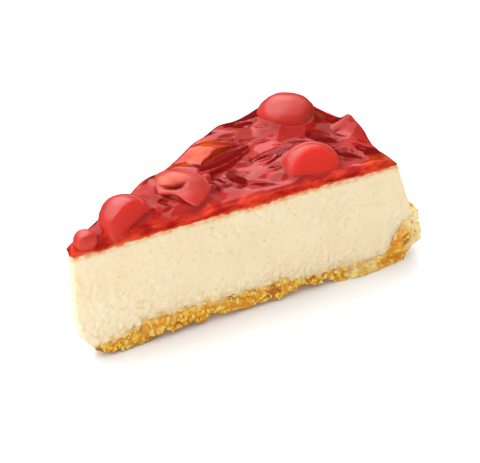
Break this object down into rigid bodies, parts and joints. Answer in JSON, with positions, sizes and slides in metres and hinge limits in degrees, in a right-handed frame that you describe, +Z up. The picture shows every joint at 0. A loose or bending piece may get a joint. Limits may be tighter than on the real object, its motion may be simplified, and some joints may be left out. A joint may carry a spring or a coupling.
{
  "type": "cherry cheesecake slice",
  "caption": "Wedge of baked cheesecake on a crumb crust with a raised rim, under red glaze with whole cherries.",
  "frame": {"origin": "middle of the slice's box, on the surface that it stands on", "axes": "+X from the tip to the rim along the slice's middle, +Z up, the near cut face towards -Y"},
  "size_m": [0.1274, 0.0613, 0.0562],
  "materials": {
    "crust": "rough golden biscuit crumb, stands in for baked crumb crust",
    "filling": "soft satin cream with small pores, stands in for baked cheese filling",
    "glaze": "wet clear red gel, stands in for cherry glaze",
    "cherry": "wet glossy red fruit skin, stands in for cooked cherry"
  },
  "bodies": {
    "root": {"crust": "crust", "filling": "filling", "glaze": "glaze", "cherry_tip": "cherry", "cherry_left": "cherry", "cherry_mid": "cherry", "cherry_back": "cherry", "cherry_right": "cherry"}
  },
  "joints": []
}
